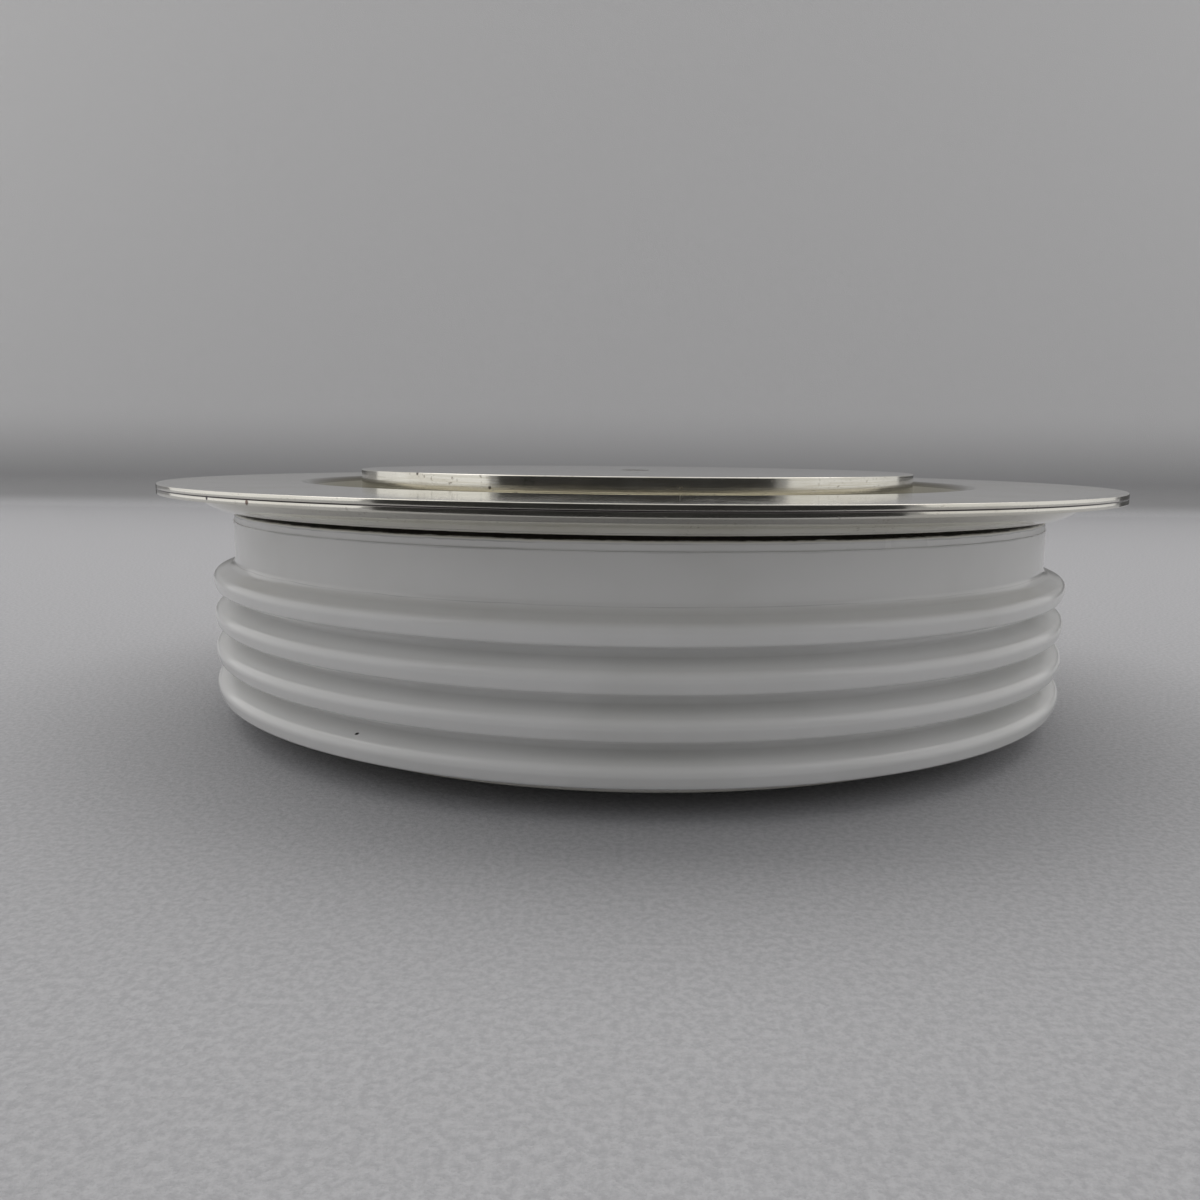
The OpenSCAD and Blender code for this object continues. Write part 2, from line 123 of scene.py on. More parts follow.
def emboss(tree, shader, relief, strength=0.5):
    """Shade the surface as if it stood out by this relief, in metres."""
    bump = add_node(tree, "ShaderNodeBump", {"Height": relief, "Strength": strength, "Distance": 1.0})
    tree.links.new(bump.outputs["Normal"], shader.inputs["Normal"])


def nickel_plate(name, gloss, mark_pitch, mark_depth, tarnish, speckle, brushed=0.0):
    """Nickel plating with the tool's circular marks, brush lines, pale stains and small dark pits."""
    clean = (0.775, 0.757, 0.69)
    stained = (0.62, 0.592, 0.51)
    pitted = (0.16, 0.135, 0.10)
    stain_size = 7 * MM
    pit_size, pit_cluster, pit_depth = 0.32 * MM, 3 * MM, 0.006 * MM
    brush_pitch, brush_depth = 0.2 * MM, 0.006 * MM
    brush_stretch = (0.035, 0.035, 1.0)
    groove_rough, pit_rough = 0.06, 0.25
    finish, tree, shader, place = new_finish(name)
    shader.inputs["Metallic"].default_value = 1.0
    across_marks = sum_of(tree, radius_of(tree, place), height_of(tree, place))
    lathe = {"W": across_marks, "Scale": 1 / mark_pitch, "Detail": 2.0}
    marks = add_node(tree, "ShaderNodeTexNoise", lathe, noise_dimensions="1D").outputs["Fac"]
    lines = grain(tree, vector_step(tree, "MULTIPLY", place, brush_stretch)[0], brush_pitch, 1.5)
    clouds = grain(tree, place, stain_size, 5.0)
    stains = fade(tree, clouds, 0.4, 0.75, 0.0, tarnish)
    dots = fade(tree, grain(tree, place, pit_size, 2.0), 0.6, 0.7)
    pits = product_of(tree, dots, fade(tree, grain(tree, place, pit_cluster), 0.42, 0.65, 0.0, speckle))
    colour = blend_colours(tree, stains, clean, stained)
    colour = blend_colours(tree, fade(tree, lines, 0.42, 0.6, 0.0, brushed), colour, stained)
    tree.links.new(blend_colours(tree, pits, colour, pitted), shader.inputs["Base Color"])
    sheen = fade(tree, clouds, 0.3, 0.75, gloss - 0.02, gloss + 0.03)
    rough = sum_of(tree, sheen, product_of(tree, marks, groove_rough))
    rough = sum_of(tree, rough, product_of(tree, pits, pit_rough))
    tree.links.new(rough, shader.inputs["Roughness"])
    relief = sum_of(tree, product_of(tree, marks, mark_depth), product_of(tree, pits, -pit_depth))
    emboss(tree, shader, sum_of(tree, relief, product_of(tree, lines, brushed * brush_depth)))
    return finish


def dress(node, finish):
    """Give a solid of the frame its finish."""
    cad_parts[node].material_slots[0].material = finish


turned_nickel = nickel_plate(
    "turned_nickel", gloss=0.16, mark_pitch=0.16 * MM, mark_depth=0.003 * MM,
    tarnish=0.5, speckle=0.6, brushed=0.5)
dress("anode_pole", turned_nickel)


# Lower flange
# A ring pressed from thin iron-nickel sheet, with one bead that takes up the expansion.
# It is nickel-plated, and brazed under the ceramic and round the lower contact.
def bent_sheet(middle_line, thickness, edge_r):
    """Corners (radius, height, corner radius) round a bent sheet, from those of its middle line."""
    points = [Vector(corner[:2]) for corner in middle_line]
    faces = {-1: [], 1: []}
    for i, point in enumerate(points):
        arrive = (points[max(i, 1)] - points[max(i, 1) - 1]).normalized()
        last = min(i, len(points) - 2)
        leave = (points[last + 1] - points[last]).normalized()
        normal = Vector((-arrive.y - leave.y, arrive.x + leave.x)) / (1 + arrive.dot(leave))
        bend = math.copysign(1, arrive.cross(leave)) if 0 < i < len(points) - 1 else 0
        for side, face in faces.items():
            corner = point + normal * side * thickness / 2
            round_r = middle_line[i][2] - side * bend * thickness / 2 if bend else edge_r
            face.append((corner.x, corner.y, round_r))
    return faces[-1] + faces[1][::-1]


def turned_section(name, corners, steps=288, arc_segments=6):
    """Round the corners of a section that stands on the X axis, and spin it about Z."""
    bpy.ops.object.select_all(action="DESELECT")
    bpy.ops.mesh.primitive_circle_add(vertices=len(corners), fill_type="NGON")
    ring = bpy.context.object
    ring.name = ring.data.name = name
    for vertex, (r, z, _) in zip(ring.data.vertices, corners):
        vertex.co = (r, 0, z)
    bpy.ops.object.mode_set(mode="EDIT")
    bpy.ops.mesh.select_mode(type="VERT")
    for i, (r, z, round_r) in enumerate(corners):
        if round_r <= 0:
            continue
        corner = Vector((r, z))
        before = Vector(corners[i - 1][:2]) - corner
        after = Vector(corners[(i + 1) % len(corners)][:2]) - corner
        bpy.ops.mesh.select_all(action="DESELECT")
        section = bmesh.from_edit_mesh(ring.data)
        nearest = min(section.verts, key=lambda v: (v.co - Vector((r, 0, z))).length)
        nearest.select = True
        section.select_flush_mode()
        bmesh.update_edit_mesh(ring.data)
        reach = round_r / math.tan(before.angle(after) / 2)
        bpy.ops.mesh.bevel(offset=reach, segments=arc_segments, affect="VERTICES", profile=0.5)
    bpy.ops.mesh.select_all(action="SELECT")
    bpy.ops.mesh.delete(type="ONLY_FACE")
    bpy.ops.mesh.select_all(action="SELECT")
    bpy.ops.mesh.spin(steps=steps, angle=2 * math.pi, center=(0, 0, 0), axis=(0, 0, 1))
    bpy.ops.mesh.select_all(action="SELECT")
    bpy.ops.mesh.remove_doubles(threshold=0.001 * MM)
    bpy.ops.mesh.delete_loose(use_verts=True, use_edges=True, use_faces=False)
    bpy.ops.mesh.select_all(action="SELECT")
    bpy.ops.mesh.normals_make_consistent(inside=False)
    bpy.ops.object.mode_set(mode="OBJECT")
    return ring


def smooth_finish(piece, finish, node):
    """Smooth the curves, keep the flats flat, and put the piece in the place of its solid."""
    bpy.ops.object.select_all(action="DESELECT")
    piece.select_set(True)
    bpy.context.view_layer.objects.active = piece
    bpy.ops.object.shade_smooth_by_angle(angle=math.radians(32))
    flats = piece.modifiers.new("flats", "WEIGHTED_NORMAL")
    flats.keep_sharp = True
    bpy.ops.object.modifier_apply(modifier=flats.name)
    piece.data.materials.clear()
    piece.data.materials.append(finish)
    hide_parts(node)
    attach(piece, "root")


SHEET_T = 0.5 * MM
SHEET_EDGE_R = 0.07 * MM
BRAZE_GAP = 0.05 * MM
disc_margin = 1.5 * MM
pole_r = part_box("anode_moly_disc")[1].x + disc_margin
bead_in, bead_out = pole_r + 3.9 * MM, pole_r + 7.6 * MM
bead_h, bead_r = 1.15 * MM, 0.6 * MM
bead_slope = math.radians(52)
bead_run = bead_h / math.tan(bead_slope)
flange_low, flange_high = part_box("anode_flange")
flange_z = flange_low.z + SHEET_T / 2
flange_line = [
    (pole_r + BRAZE_GAP, flange_z, 0),
    (bead_in, flange_z, bead_r),
    (bead_in + bead_run, flange_z + bead_h, bead_r),
    (bead_out - bead_run, flange_z + bead_h, bead_r),
    (bead_out, flange_z, bead_r),
    (flange_high.x, flange_z, 0),
]
pressed_nickel = nickel_plate(
    "pressed_nickel", gloss=0.12, mark_pitch=0.3 * MM, mark_depth=0.002 * MM, tarnish=0.65, speckle=0.5)
lower_flange = turned_section("lower_flange", bent_sheet(flange_line, SHEET_T, SHEET_EDGE_R))
smooth_finish(lower_flange, pressed_nickel, "anode_flange")


# Wafer stack
# The silicon wafer lies between two lapped molybdenum discs, with its bevelled edge in silicone rubber.
# A ring turned from white fluoroplastic centres the stack inside the ceramic.
def plain_finish(name, light, dark, blotch, rough, metallic, relief):
    """A finish with a little change of tone, gloss and relief over its surface."""
    grain_size = 0.2 * MM
    finish, tree, shader, place = new_finish(name)
    shader.inputs["Metallic"].default_value = metallic
    clouds = grain(tree, place, blotch, 4.0)
    colour = blend_colours(tree, fade(tree, clouds, 0.35, 0.7), light, dark)
    tree.links.new(colour, shader.inputs["Base Color"])
    tree.links.new(fade(tree, clouds, 0.3, 0.7, rough - 0.05, rough + 0.07), shader.inputs["Roughness"])
    emboss(tree, shader, product_of(tree, grain(tree, place, grain_size), relief))
    return finish


lapped_molybdenum = plain_finish(
    "lapped_molybdenum", light=(0.50, 0.51, 0.53), dark=(0.40, 0.41, 0.43),
    blotch=5 * MM, rough=0.38, metallic=1.0, relief=0.004 * MM)
polished_silicon = plain_finish(
    "polished_silicon", light=(0.26, 0.28, 0.33), dark=(0.20, 0.22, 0.28),
    blotch=8 * MM, rough=0.14, metallic=0.6, relief=0.0005 * MM)
silicone_rubber = plain_finish(
    "silicone_rubber", light=(0.76, 0.75, 0.71), dark=(0.66, 0.65, 0.60),
    blotch=3 * MM, rough=0.6, metallic=0.0, relief=0.006 * MM)
white_fluoroplastic = plain_finish(
    "white_fluoroplastic", light=(0.84, 0.84, 0.82), dark=(0.77, 0.77, 0.74),
    blotch=4 * MM, rough=0.42, metallic=0.0, relief=0.004 * MM)
for disc in ("anode_moly_disc", "cathode_moly_disc"):
    dress(disc, lapped_molybdenum)
dress("silicon_wafer", polished_silicon)
dress("edge_seal", silicone_rubber)
dress("locating_ring", white_fluoroplastic)


# Ceramic ring
# The insulator: alumina pressed, turned to a plain band and four sheds, fired and dipped in white glaze.
# A strip below the rim is left bare, and the edge above it is metallised for the braze; higher up the edge
# is painted near-black as the shade of the crevice under the rim.
def near(tree, place, point, reach):
    """1 at a point on the object, fading to 0 at this distance from it."""
    away = vector_step(tree, "DISTANCE", place, point)["Value"]
    return fade(tree, away, 0.45 * reach, reach, 1.0, 0.0)


def glazed_alumina(name, strip_z, edge_z, foot_z):
    """Glaze, a bare strip, braze on the edge above it and painted crevice shade above that, a patchy grey
    line at each change (the one at the band's foot is painted crease shade), and a speck.
    """
    glaze = (0.80, 0.80, 0.79)
    thin_glaze = (0.745, 0.745, 0.73)
    # grey of the glaze and braze edge lines, also used as painted crease shade at the band's foot
    grey_line_and_crease_shade = (0.44, 0.44, 0.435)
    braze = (0.72, 0.705, 0.64)
    # painted shade: near-black for the crevice under the rim
    painted_crevice_shade = (0.028, 0.024, 0.020)
    soot = (0.012, 0.011, 0.010)
    speck_at, speck_size = (-23.0 * MM, -39.9 * MM, 4.95 * MM), 0.24 * MM
    wave_size, wave_h = 5 * MM, 0.025 * MM
    pore_size, pore_depth = 0.3 * MM, 0.008 * MM
    bare_rough = 0.16
    finish, tree, shader, place = new_finish(name)
    shader.inputs["Subsurface Weight"].default_value = 0.15
    shader.inputs["Subsurface Radius"].default_value = (1.0, 0.95, 0.9)
    shader.inputs["Subsurface Scale"].default_value = 0.9 * MM
    height = height_of(tree, place)
    clouds = grain(tree, place, 14 * MM, 3.0)
    wavy = sum_of(tree, height, product_of(tree, grain(tree, place, 4 * MM, 1.0), 0.16 * MM))
    ragged = sum_of(tree, height, product_of(tree, grain(tree, place, 1.6 * MM, 2.0), 0.2 * MM))
    patchy = fade(tree, grain(tree, place, 9 * MM, 2.0), 0.35, 0.65, 0.25, 1.0)

    def patchy_line(level, middle, width, strength):
        rise = fade(tree, level, middle - width, middle - 0.3 * width)
        fall = fade(tree, level, middle + 0.3 * width, middle + width, 1.0, 0.0)
        return product_of(tree, product_of(tree, rise, fall), product_of(tree, patchy, strength))

    is_bare = fade(tree, wavy, strip_z + 0.02 * MM, strip_z + 0.12 * MM)
    is_braze = fade(tree, ragged, edge_z - 0.04 * MM, edge_z + 0.04 * MM)
    # painted shade of the crevice, on the edge above the braze
    is_painted_crevice_shade = fade(tree, ragged, edge_z + 0.12 * MM, edge_z + 0.22 * MM)
    colour = blend_colours(tree, fade(tree, clouds, 0.4, 0.75), glaze, thin_glaze)
    for share, laid in (
            (patchy_line(wavy, strip_z + 0.07 * MM, 0.15 * MM, 0.42), grey_line_and_crease_shade),
            # painted shade: this line at the band's foot stands for the shade of a crease
            (patchy_line(wavy, foot_z + 0.07 * MM, 0.06 * MM, 0.45), grey_line_and_crease_shade),
            (patchy_line(ragged, edge_z - 0.06 * MM, 0.09 * MM, 0.7), grey_line_and_crease_shade),
            (is_braze, braze),
            (is_painted_crevice_shade, painted_crevice_shade),
            (near(tree, place, speck_at, speck_size), soot)):
        colour = blend_colours(tree, share, colour, laid)
    tree.links.new(colour, shader.inputs["Base Color"])
    gloss = fade(tree, clouds, 0.3, 0.7, 0.11, 0.17)
    tree.links.new(sum_of(tree, gloss, product_of(tree, is_bare, bare_rough)), shader.inputs["Roughness"])
    waves = product_of(tree, grain(tree, place, wave_size, 1.0), wave_h)
    pores = product_of(tree, product_of(tree, grain(tree, place, pore_size), is_bare), pore_depth)
    emboss(tree, shader, sum_of(tree, waves, pores))
    return finish


def cut_away(piece, cutter):
    """Cut the cutter's form out of a piece, and take the cutter away."""
    cut = piece.modifiers.new("cut", "BOOLEAN")
    cut.operation, cut.solver, cut.object = "DIFFERENCE", "EXACT", cutter
    bpy.context.view_layer.objects.active = piece
    bpy.ops.object.modifier_apply(modifier=cut.name)
    bpy.data.objects.remove(cutter)


ring_low, ring_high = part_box("ceramic_ring")
ring_bore_r = 40 * MM
shed_r = ring_high.x
band_r, root_r = 44.9 * MM, 44.5 * MM
band_h, strip_h, glaze_t = 6.55 * MM, 1.25 * MM, 0.1 * MM
shed_count, shed_land, shed_draft = 4, 1.6 * MM, 0.4 * MM
band_fillet, root_fillet, foot_fillet = 0.9 * MM, 0.45 * MM, 0.2 * MM
nose_r, land_r = 0.8 * MM, 0.4 * MM
foot_h = 0.9 * MM
top_slope, under_slope = math.radians(20), math.radians(7)
chamfer_w, chamfer_h = 0.8 * MM, 0.5 * MM
first_nose = ring_high.z - band_h
shed_pitch = (first_nose - shed_land - foot_h - ring_low.z) / (shed_count - 1)
under_fall = (shed_r - shed_draft - root_r) * math.tan(under_slope)
ring_corners = [
    (ring_bore_r, ring_low.z, 0),
    (root_r - chamfer_w, ring_low.z, 0),
    (root_r, ring_low.z + chamfer_h, 0),
]
for shed in reversed(range(shed_count)):
    nose = first_nose - shed * shed_pitch
    under_fillet = foot_fillet if shed == shed_count - 1 else root_fillet
    above_r, above_fillet = (band_r, band_fillet) if shed == 0 else (root_r, root_fillet)
    ring_corners += [
        (root_r, nose - shed_land - under_fall, under_fillet),
        (shed_r - shed_draft, nose - shed_land, land_r),
        (shed_r, nose, nose_r),
        (above_r, nose + (shed_r - above_r) * math.tan(top_slope), above_fillet),
    ]
strip_r = band_r - glaze_t
strip_z = ring_high.z - strip_h
ring_corners += [
    (band_r, strip_z, 0),
    (strip_r, strip_z, 0),
    (strip_r, ring_high.z - chamfer_h, 0),
    (strip_r - chamfer_w, ring_high.z, 0),
    (ring_bore_r, ring_high.z, 0),
]
ceramic = turned_section("glazed_ceramic", ring_corners)
gate_low, gate_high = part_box("gate_tube")
gate_z = (gate_low.z + gate_high.z) / 2
gate_hole_r, gate_drill_length = 1.35 * MM, 8 * MM
bpy.ops.object.select_all(action="DESELECT")
bpy.ops.mesh.primitive_cylinder_add(
    vertices=64, radius=gate_hole_r, depth=gate_drill_length,
    location=(0, (ring_bore_r + band_r) / 2, gate_z), rotation=(math.pi / 2, 0, 0))
cut_away(ceramic, bpy.context.object)
band_foot_h = 1.15 * MM
glaze_finish = glazed_alumina("white_glaze", strip_z, ring_high.z - chamfer_h, first_nose + band_foot_h)
smooth_finish(ceramic, glaze_finish, "ceramic_ring")


# Weld ring
# The lower sheet of the rim, pressed from iron-nickel sheet and dished down to the ceramic.
# It is brazed on the metallised edge of the ceramic before the capsule is closed.
def lay_over(finish, share, laid):
    """Lay one more colour over a finish, where the share is 1."""
    tree = finish.node_tree
    base = tree.nodes["Principled BSDF"].inputs["Base Color"]
    tree.links.new(blend_colours(tree, share, base.links[0].from_socket, laid), base)


def distance_between(tree, value, middle):
    away = add_node(tree, "ShaderNodeMath", {0: value, 1: middle}, operation="SUBTRACT").outputs[0]
    return add_node(tree, "ShaderNodeMath", {0: away}, operation="ABSOLUTE").outputs[0]


def mark_rim(finish, seam_z, top_z):
    """The dark seam between the two sheets, the welding tool's speckled track and marks of handling."""
    seam = (0.055, 0.043, 0.052)
    track = (0.24, 0.22, 0.20)
    smear = (0.11, 0.10, 0.10)
    rust = (0.20, 0.15, 0.13)
    track_r = 51.2 * MM
    speck_size = 0.3 * MM
    smear_at, smear_size = (36.7 * MM, -34.8 * MM, top_z), 7 * MM
    nick_at, nick_size = (-35.3 * MM, -38.2 * MM, seam_z - 0.1 * MM), 0.24 * MM
    rust_at, rust_size = (-30.5 * MM, -42.1 * MM, seam_z - 0.22 * MM), 0.28 * MM
    tree = finish.node_tree
    place = place_on_object(tree)
    height = height_of(tree, place)
    in_seam = fade(tree, distance_between(tree, height, seam_z), 0.035 * MM, 0.085 * MM, 0.9, 0.0)
    specks = fade(tree, grain(tree, place, speck_size, 2.0), 0.5, 0.6)
    on_top = fade(tree, height, top_z - 0.1 * MM, top_z - 0.02 * MM)
    off_track = distance_between(tree, radius_of(tree, place), track_r)
    in_track = product_of(tree, fade(tree, off_track, 0.2 * MM, 0.5 * MM, 0.6, 0.0), on_top)
    by_track = product_of(tree, fade(tree, off_track, 0.4 * MM, 0.9 * MM, 0.85, 0.0), on_top)
    in_smear = product_of(tree, near(tree, place, smear_at, smear_size), by_track)
    lay_over(finish, in_seam, seam)
    lay_over(finish, product_of(tree, in_track, specks), track)
    lay_over(finish, product_of(tree, in_smear, specks), smear)
    lay_over(finish, near(tree, place, rust_at, rust_size), rust)
    lay_over(finish, near(tree, place, nick_at, nick_size), seam)


weld_low, weld_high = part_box("weld_ring")
rim_r = weld_high.x
weld_land = 3.6 * MM
dish_slope = math.radians(50)
dish_r, rim_bend_r = 3 * MM, 0.9 * MM
dish_run = (weld_high.z - weld_low.z - SHEET_T) / math.tan(dish_slope)
weld_line = [
    (ring_bore_r + chamfer_w, weld_low.z + SHEET_T / 2, 0),
    (rim_r - weld_land - dish_run, weld_low.z + SHEET_T / 2, dish_r),
    (rim_r - weld_land, weld_high.z - SHEET_T / 2, rim_bend_r),
    (rim_r, weld_high.z - SHEET_T / 2, 0),
]
weld_ring = turned_section("dished_weld_ring", bent_sheet(weld_line, SHEET_T, SHEET_EDGE_R), steps=360)
rim_nickel = nickel_plate(
    "rim_nickel", gloss=0.055, mark_pitch=0.25 * MM, mark_depth=0.0015 * MM, tarnish=0.45, speckle=0.35)
mark_rim(rim_nickel, weld_high.z, weld_high.z + SHEET_T)
smooth_finish(weld_ring, rim_nickel, "weld_ring")


# Cover diaphragm
# The upper sheet of the rim, with a moat pressed round the contact so that it can flex.
# It is brazed to the upper contact and cold-welded to the lower sheet along its edge. The moat and its bend
# are painted darker as shade.
cover_low, cover_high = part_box("cover_diaphragm")
moat_w, moat_bend_r = 5.8 * MM, 0.9 * MM
moat_slope = math.radians(70)
moat_run = (cover_high.z - cover_low.z - SHEET_T) / math.tan(moat_slope)
moat_edge = pole_r + moat_w
cover_line = [
    (pole_r + BRAZE_GAP, cover_low.z + SHEET_T / 2, 0),
    (moat_edge - moat_run, cover_low.z + SHEET_T / 2, moat_bend_r),
    (moat_edge, cover_high.z - SHEET_T / 2, moat_bend_r),
    (rim_r, cover_high.z - SHEET_T / 2, 0),
]
cover = turned_section("cover_sheet", bent_sheet(cover_line, SHEET_T, SHEET_EDGE_R), steps=360)
# painted shade: the moat is tinted darker olive as shade in its hollow
moat_painted_shade = (0.38, 0.36, 0.27)
# painted shade on the moat's bend, which dims its reflection of the overhead lamp
bend_painted_shade = (0.14, 0.125, 0.09)
moat_blur = 0.4 * MM
bend_middle = moat_edge + 0.15 * MM
rim_tree = rim_nickel.node_tree
from_axis = radius_of(rim_tree, place_on_object(rim_tree))
from_bend = distance_between(rim_tree, from_axis, bend_middle)
in_moat_shade = fade(rim_tree, from_axis, moat_edge - moat_blur, moat_edge + moat_blur, 0.7, 0.0)
in_bend_shade = fade(rim_tree, from_bend, 0.3 * MM, 0.55 * MM, 0.85, 0.0)
# lay the painted shade of the moat and its bend over the rim's nickel
lay_over(rim_nickel, in_moat_shade, moat_painted_shade)
lay_over(rim_nickel, in_bend_shade, bend_painted_shade)
smooth_finish(cover, rim_nickel, "cover_diaphragm")


# Gate contact
# A silver-plated button pressed on the middle of the wafer by a coil spring in an insulating cup.
# Its wire runs out through a slot in the upper contact, in a white sleeve.
silver_plate = plain_finish(
    "silver_plate", light=(0.86, 0.86, 0.84), dark=(0.74, 0.73, 0.69),
    blotch=2 * MM, rough=0.18, metallic=1.0, relief=0.002 * MM)
drawn_steel = plain_finish(
    "drawn_steel", light=(0.60, 0.60, 0.61), dark=(0.47, 0.47, 0.48),
    blotch=1.5 * MM, rough=0.3, metallic=1.0, relief=0.003 * MM)
for silvered in ("gate_contact", "gate_lead"):
    dress(silvered, silver_plate)
for sprung in ("gate_spring", "gate_washer"):
    dress(sprung, drawn_steel)
for insulating in ("gate_cup", "gate_sleeve"):
    dress(insulating, white_fluoroplastic)


# Gate tube
# The gate terminal: a thin nickel-plated tube with a collar, brazed into the wall of the ceramic.
# The wire ends in it, and its tip is pinched shut and rounded.
tube_r, tube_bore_r = 1.3 * MM, 0.65 * MM
collar_r, collar_t = 2.2 * MM, 0.6 * MM
tube_length = gate_high.y - gate_low.y
collar_start = band_r - gate_low.y
wire_end = tube_length - tube_r
soft_r = 0.12 * MM
tube_corners = [
    (tube_bore_r, 0, 0),
    (tube_r, 0, soft_r),
    (tube_r, collar_start, 0),
    (collar_r, collar_start, 0),
    (collar_r, collar_start + collar_t, soft_r),
    (tube_r, collar_start + collar_t, soft_r),
    (tube_r, tube_length, tube_r / 2),
    (0, tube_length, 0),
    (0, wire_end, 0),
    (tube_bore_r, wire_end, 0),
]
gate_tube = turned_section("gate_terminal", tube_corners, steps=96)
gate_tube.rotation_euler = (-math.pi / 2, 0, 0)
gate_tube.location = (0, gate_low.y, gate_z)
bpy.ops.object.transform_apply(location=True, rotation=True)
smooth_finish(gate_tube, pressed_nickel, "gate_tube")


# Upper contact
# A turned copper block like the lower one, nickel-plated, standing a little above the rim.
# Its lapped face takes the pressure of the clamp, and its side keeps the lathe's marks.
def mark_contact(finish, top_z):
    """The lapped face, glossier than the side, and a nick, a painted highlight for a dent, a pit and a
    scuff on the side.
    """
    bruise = (0.13, 0.115, 0.10)
    # painted highlight of the dent
    painted_dent_highlight = (0.90, 0.885, 0.84)
    lapped_gloss = 0.6
    scratch_size = 0.28 * MM
    nick_at, nick_size = (-21.0 * MM, -23.4 * MM, top_z - 0.1 * MM), 0.24 * MM
    dent_at, dent_size = (-23.5 * MM, -21.0 * MM, top_z - 1.7 * MM), 0.3 * MM
    pit_at, pit_size = (-13.4 * MM, -28.5 * MM, top_z - 1.2 * MM), 0.2 * MM
    scuff_at, scuff_size = (-9.7 * MM, -30.0 * MM, top_z - 0.65 * MM), 0.9 * MM
    tree = finish.node_tree
    place = place_on_object(tree)
    height = height_of(tree, place)
    lapped = fade(tree, height, top_z - 0.08 * MM, top_z - 0.01 * MM, 1.0, lapped_gloss)
    rough = tree.nodes["Principled BSDF"].inputs["Roughness"]
    tree.links.new(product_of(tree, rough.links[0].from_socket, lapped), rough)
    scratches = fade(tree, grain(tree, place, scratch_size, 2.0), 0.5, 0.65, 0.0, 0.55)
    lay_over(finish, product_of(tree, near(tree, place, scuff_at, scuff_size), scratches), bruise)
    # painted highlight: a bright spot for the dent's glint
    lay_over(finish, near(tree, place, dent_at, dent_size), painted_dent_highlight)
    lay_over(finish, near(tree, place, pit_at, pit_size), bruise)
    lay_over(finish, near(tree, place, nick_at, nick_size), bruise)


contact_low, contact_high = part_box("cathode_pole")
contact_top = contact_high.z
shoulder_h, contact_edge_r = 2 * MM, 0.12 * MM
disc_play, cup_play, sleeve_play = 0.2 * MM, 0.1 * MM, 0.2 * MM
boss_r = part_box("cathode_moly_disc")[1].x + disc_play
cup_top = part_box("gate_cup")[1].z
cup_bore_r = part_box("gate_cup")[1].x + cup_play
pin_hole_r, pin_hole_depth = 1.75 * MM, 2.5 * MM
drill_half_angle = math.radians(59)
drill_tip = pin_hole_r / math.tan(drill_half_angle)
contact_corners = [
    (0, contact_top - pin_hole_depth - drill_tip, 0),
    (0, cup_top, 0),
    (cup_bore_r, cup_top, 0),
    (cup_bore_r, contact_low.z, 0),
    (boss_r, contact_low.z, 0),
    (boss_r, cover_low.z - shoulder_h, 0),
    (contact_high.x, cover_low.z - shoulder_h, 0),
    (contact_high.x, cover_low.z, 0),
    (pole_r, cover_low.z, 0),
    (pole_r, contact_top, contact_edge_r),
    (pin_hole_r, contact_top, 0),
    (pin_hole_r, contact_top - pin_hole_depth, 0),
]
upper_contact = turned_section("upper_contact", contact_corners, steps=360)
slot_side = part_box("gate_sleeve")[1].x + sleeve_play
slot_run = boss_r + 1 * MM
bpy.ops.object.select_all(action="DESELECT")
bpy.ops.mesh.primitive_cube_add(size=1.0, location=(0, slot_run / 2, contact_low.z + slot_side / 2))
cutter = bpy.context.object
cutter.scale = (2 * slot_side, slot_run, 3 * slot_side)
bpy.ops.object.transform_apply(location=True, rotation=True, scale=True)
cut_away(upper_contact, cutter)
contact_nickel = nickel_plate(
    "contact_nickel", gloss=0.085, mark_pitch=0.16 * MM, mark_depth=0.003 * MM,
    tarnish=0.3, speckle=0.6, brushed=0.6)
mark_contact(contact_nickel, contact_top)
smooth_finish(upper_contact, contact_nickel, "cathode_pole")


# Floor
# A plain pale sheet of felt under the capsule, swept up behind it into a plain wall.
# It is painted darker at the wall's foot as shade, and far from the capsule it glows with the grey of the
# room as painted light.
ROOM_GREY = (0.27, 0.27, 0.275)


def pale_felt(name):
    """Felt with painted shade at the wall's foot, lighter up the wall, and a painted glow of the room's
    grey far away.
    """
    pale = (0.50, 0.50, 0.515)
    shade = (0.41, 0.41, 0.425)
    # painted shade in the fold at the wall's foot
    wall_foot = (0.30, 0.30, 0.305)
    wall_grey = (0.58, 0.58, 0.585)
    felt_size, felt_h = 0.5 * MM, 0.12 * MM
    foot_top = 0.006
    wall_from, wall_full = 0.004, 0.05
    room_from, room_full = 0.5, 1.3
    finish, tree, shader, place = new_finish(name)
    shader.inputs["Roughness"].default_value = 0.95
    shader.inputs["Specular IOR Level"].default_value = 0.1
    felt = grain(tree, place, felt_size, 5.0, 0.7)
    height = height_of(tree, place)
    colour = blend_colours(tree, fade(tree, felt, 0.35, 0.65), pale, shade)
    # painted shade at the wall's foot
    colour = blend_colours(tree, fade(tree, height, 0.0, foot_top), colour, wall_foot)
    colour = blend_colours(tree, fade(tree, height, wall_from, wall_full), colour, wall_grey)
    tree.links.new(colour, shader.inputs["Base Color"])
    emboss(tree, shader, product_of(tree, felt, felt_h), strength=1.0)
    away = vector_step(tree, "LENGTH", place)["Value"]
    # painted light: far away the felt gives way to a glow of the room's grey
    room = add_node(tree, "ShaderNodeEmission", {"Color": (*ROOM_GREY, 1.0)}).outputs[0]
    mixed = {0: fade(tree, away, room_from, room_full), 1: shader.outputs[0], 2: room}
    surface = add_node(tree, "ShaderNodeMixShader", mixed).outputs[0]
    tree.links.new(surface, tree.nodes["Material Output"].inputs["Surface"])
    return finish


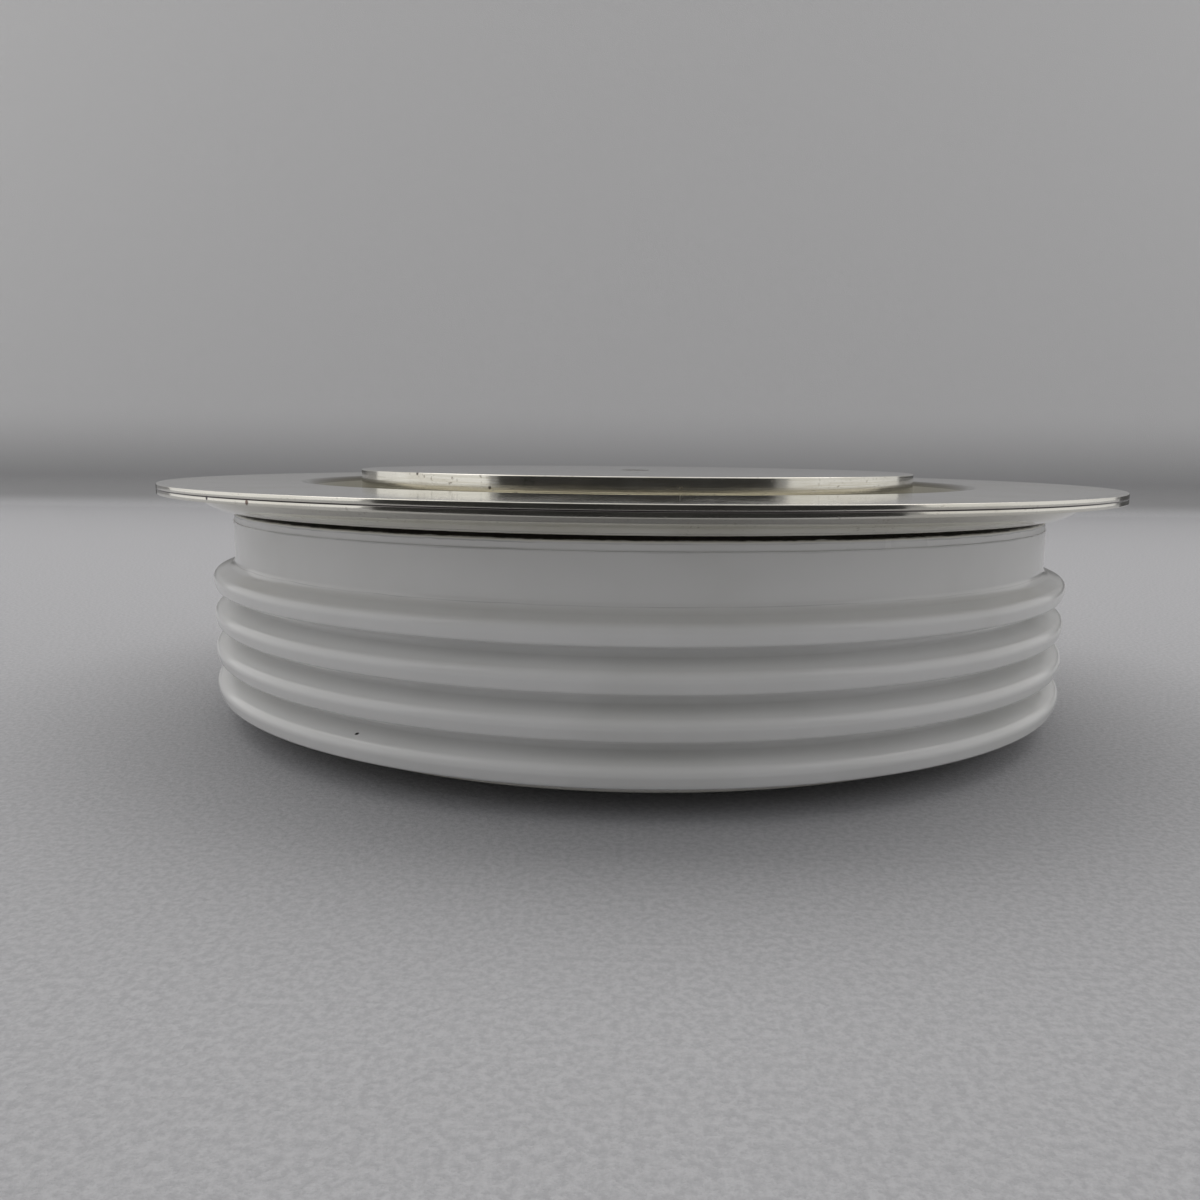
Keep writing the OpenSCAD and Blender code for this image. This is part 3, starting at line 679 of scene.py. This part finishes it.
def select_wall_foot(sheet, wall_y):
    """Select only the edge of the sheet along the foot of the wall."""
    reach = 0.01
    bpy.ops.mesh.select_all(action="DESELECT")
    mesh = bmesh.from_edit_mesh(sheet.data)
    for edge in mesh.edges:
        edge.select = all(v.co.y > wall_y - reach and v.co.z < reach for v in edge.verts)
    bmesh.update_edit_mesh(sheet.data)


floor_size = 4.0
wall_y, wall_h = 0.36, 0.45
sweep_r = 0.015
bpy.ops.object.select_all(action="DESELECT")
bpy.ops.mesh.primitive_plane_add(size=floor_size, location=(0, wall_y - floor_size / 2, 0))
floor = bpy.context.object
floor.name = "floor"
bpy.ops.object.transform_apply(location=True)
bpy.ops.object.mode_set(mode="EDIT")
bpy.ops.mesh.select_mode(type="EDGE")
select_wall_foot(floor, wall_y)
bpy.ops.mesh.extrude_region_move(TRANSFORM_OT_translate={"value": (0, 0, wall_h)})
select_wall_foot(floor, wall_y)
bpy.ops.mesh.bevel(offset=sweep_r, segments=16, affect="EDGES")
bpy.ops.mesh.select_all(action="SELECT")
bpy.ops.mesh.normals_make_consistent(inside=False)
bpy.ops.object.mode_set(mode="OBJECT")
bpy.ops.object.shade_smooth()
floor.data.materials.append(pale_felt("pale_felt"))


# Light
# One broad lamp overhead and a little behind, and a tall soft panel at each side, in an even grey room.
# Low dark cards in front and at both sides, seen in reflections only, darken the metal's edges.
def soft_lamp(name, place, width, height, watts, colour):
    aim_at = Vector((0, 0, 0.015))
    lamp = bpy.data.lights.new(name, "AREA")
    lamp.shape = "RECTANGLE"
    lamp.size, lamp.size_y = width, height
    lamp.energy = watts
    lamp.color = colour
    holder = bpy.data.objects.new(name, lamp)
    holder.location = place
    holder.rotation_euler = (aim_at - Vector(place)).to_track_quat("-Z", "Y").to_euler()
    holder.visible_camera = False
    bpy.context.scene.collection.objects.link(holder)


def dark_card(name, finish, width, height, place, swing):
    """An upright card on the floor, which only reflections show."""
    bpy.ops.object.select_all(action="DESELECT")
    bpy.ops.mesh.primitive_plane_add(
        size=1.0, location=(*place, height / 2), rotation=(math.pi / 2, 0, swing))
    card = bpy.context.object
    card.name = name
    card.scale = (width, height, 1.0)
    bpy.ops.object.transform_apply(location=True, rotation=True, scale=True)
    card.data.materials.append(finish)
    card.visible_camera = card.visible_diffuse = card.visible_shadow = False


lamp_white, panel_white = (1.0, 0.985, 0.96), (1.0, 0.99, 0.97)
soft_lamp("overhead", (0.0, 0.24, 0.66), width=1.4, height=0.6, watts=4.0, colour=lamp_white)
soft_lamp("left_panel", (-0.42, 0.01, 0.20), width=0.68, height=0.66, watts=0.85, colour=panel_white)
soft_lamp("right_panel", (0.42, 0.015, 0.20), width=0.66, height=0.66, watts=0.71, colour=panel_white)
card_black = plain_finish(
    "card_black", light=(0.03, 0.03, 0.03), dark=(0.02, 0.02, 0.02),
    blotch=20 * MM, rough=0.9, metallic=0.0, relief=0.01 * MM)
card_grey = plain_finish(
    "card_grey", light=(0.14, 0.14, 0.14), dark=(0.12, 0.12, 0.12),
    blotch=20 * MM, rough=0.9, metallic=0.0, relief=0.01 * MM)
dark_card("front_card", card_black, width=0.42, height=0.055, place=(0.0, -0.17), swing=0.0)
dark_card("left_card", card_grey, width=0.105, height=0.026, place=(-0.166, 0.267), swing=0.47)
dark_card("right_card", card_grey, width=0.18, height=0.026, place=(0.202, 0.246), swing=-0.61)
room = bpy.data.worlds.new("grey_room")
room.use_nodes = True
room.node_tree.nodes["Background"].inputs["Color"].default_value = (*ROOM_GREY, 1.0)
bpy.context.scene.world = room
bpy.context.scene.view_settings.view_transform = "Standard"


# Camera
# It looks at the front of the capsule from close by, a little above the upper face.
# Its place, its angles and its lens are fitted to the ellipses in the photograph.
camera_at = (-1.12 * MM, -119.0 * MM, 28.16 * MM)
turn_degrees, down_degrees, roll_degrees = 1.39, 8.49, 0.53
lens = bpy.data.cameras.new("camera")
lens.sensor_width = 36
lens.lens = 29.88
lens.clip_start = 0.005
camera = bpy.data.objects.new("camera", lens)
turn = Matrix.Rotation(math.radians(turn_degrees), 4, "Z")
tilt = Matrix.Rotation(math.radians(90 - down_degrees), 4, "X")
roll = Matrix.Rotation(math.radians(roll_degrees), 4, "Z")
camera.matrix_world = Matrix.Translation(camera_at) @ turn @ tilt @ roll
bpy.context.scene.collection.objects.link(camera)
bpy.context.scene.camera = camera
